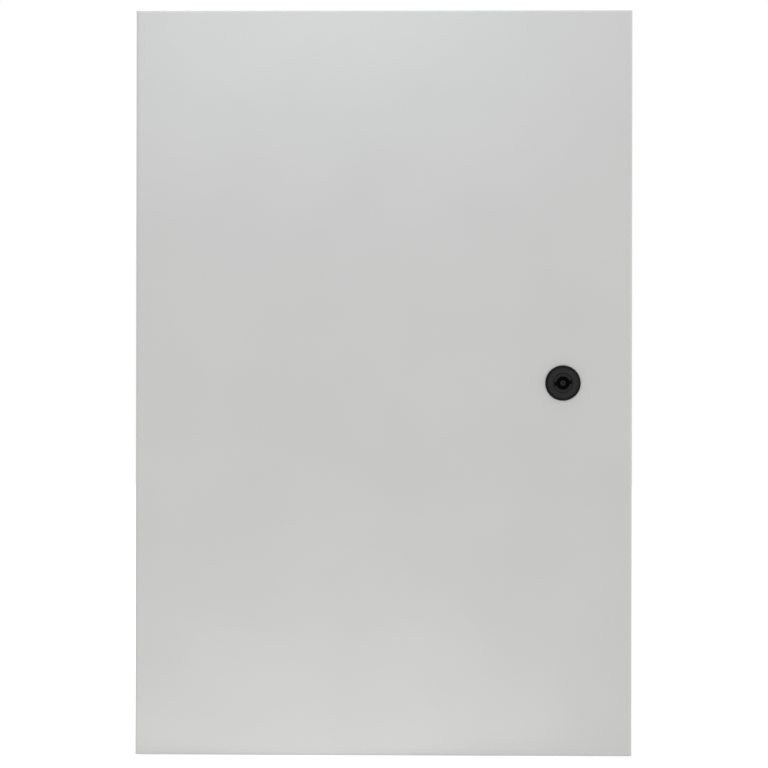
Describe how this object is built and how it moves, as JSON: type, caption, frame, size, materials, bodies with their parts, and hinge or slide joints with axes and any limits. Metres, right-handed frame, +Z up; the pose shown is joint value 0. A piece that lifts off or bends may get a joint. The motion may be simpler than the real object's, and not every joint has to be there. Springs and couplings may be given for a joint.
{
  "type": "industrial switchboard cabinet",
  "caption": "Wall-mounting sheet-steel switchboard cabinet with a hinged door, a double-bit quarter-turn lock and a device plate inside.",
  "frame": {"origin": "bottom centre of the whole cabinet's bounding box, door closed", "axes": "+X right as seen from the front, +Y from the door towards the wall, +Z up"},
  "size_m": [0.4, 0.203, 0.6],
  "materials": {
    "powder_coat": "satin light grey powder coat with fine orange peel",
    "galvanised_sheet": "hot-dip zinc with a faint spangle",
    "zinc_plate": "bright zinc plating",
    "bright_steel": "turned stainless steel",
    "copper_plate": "thin copper plating of weld studs",
    "brass": "turned brass",
    "hinge_diecast": "black-coated zinc die-casting",
    "lock_black": "fine matt black coat on zinc die-casting",
    "rotor_black": "fine matt black coat on zinc die-casting",
    "foam_gasket": "foamed-in-place polyurethane with a smooth skin",
    "epdm": "moulded matt rubber",
    "nylon": "natural polyamide"
  },
  "bodies": {
    "enclosure": {"front_frame": "powder_coat", "body_shell": "powder_coat", "rear_panel": "powder_coat", "mounting_plate": "galvanised_sheet", "plate_studs": "zinc_plate", "plate_spacers": "zinc_plate", "plate_washers": "zinc_plate", "plate_nuts": "zinc_plate", "gland_plate": "powder_coat", "gland_gasket": "epdm", "gland_studs": "zinc_plate", "gland_nuts": "zinc_plate", "body_earth_stud": "copper_plate", "body_earth_washers": "zinc_plate", "body_earth_nuts": "brass", "hinge_arm_upper": "hinge_diecast", "hinge_arm_lower": "hinge_diecast", "hinge_arm_screws": "zinc_plate", "hinge_arm_seals": "epdm"},
    "door": {"door_panel": "powder_coat", "door_gasket": "foam_gasket", "door_rail_left": "galvanised_sheet", "door_rail_right": "galvanised_sheet", "rail_studs": "copper_plate", "rail_nuts": "zinc_plate", "hinge_leaf_upper": "hinge_diecast", "hinge_leaf_lower": "hinge_diecast", "leaf_studs": "copper_plate", "leaf_nuts": "zinc_plate", "hinge_pin_upper": "bright_steel", "hinge_pin_lower": "bright_steel", "hinge_pin_clips": "bright_steel", "hinge_washers": "nylon", "door_earth_stud": "copper_plate", "door_earth_washers": "zinc_plate", "door_earth_nuts": "brass", "lock_housing": "lock_black", "lock_seal": "epdm", "lock_tooth_washer": "zinc_plate", "lock_nut": "zinc_plate"},
    "lock": {"lock_rotor": "rotor_black", "rotor_o_ring": "epdm", "lock_cam": "zinc_plate", "cam_spring_washer": "zinc_plate", "cam_screw": "zinc_plate"}
  },
  "joints": [
    {"name": "door_swing", "type": "hinge", "parent": "enclosure", "child": "door", "pos_m": [-0.194, -0.0895, 0.3], "axis": [0, 0, -1], "range_deg": [0, 120]},
    {"name": "lock_turn", "type": "hinge", "parent": "door", "child": "lock", "pos_m": [0.144, -0.0985, 0.3], "axis": [0, -1, 0], "range_deg": [-7.5, 82.5]}
  ]
}
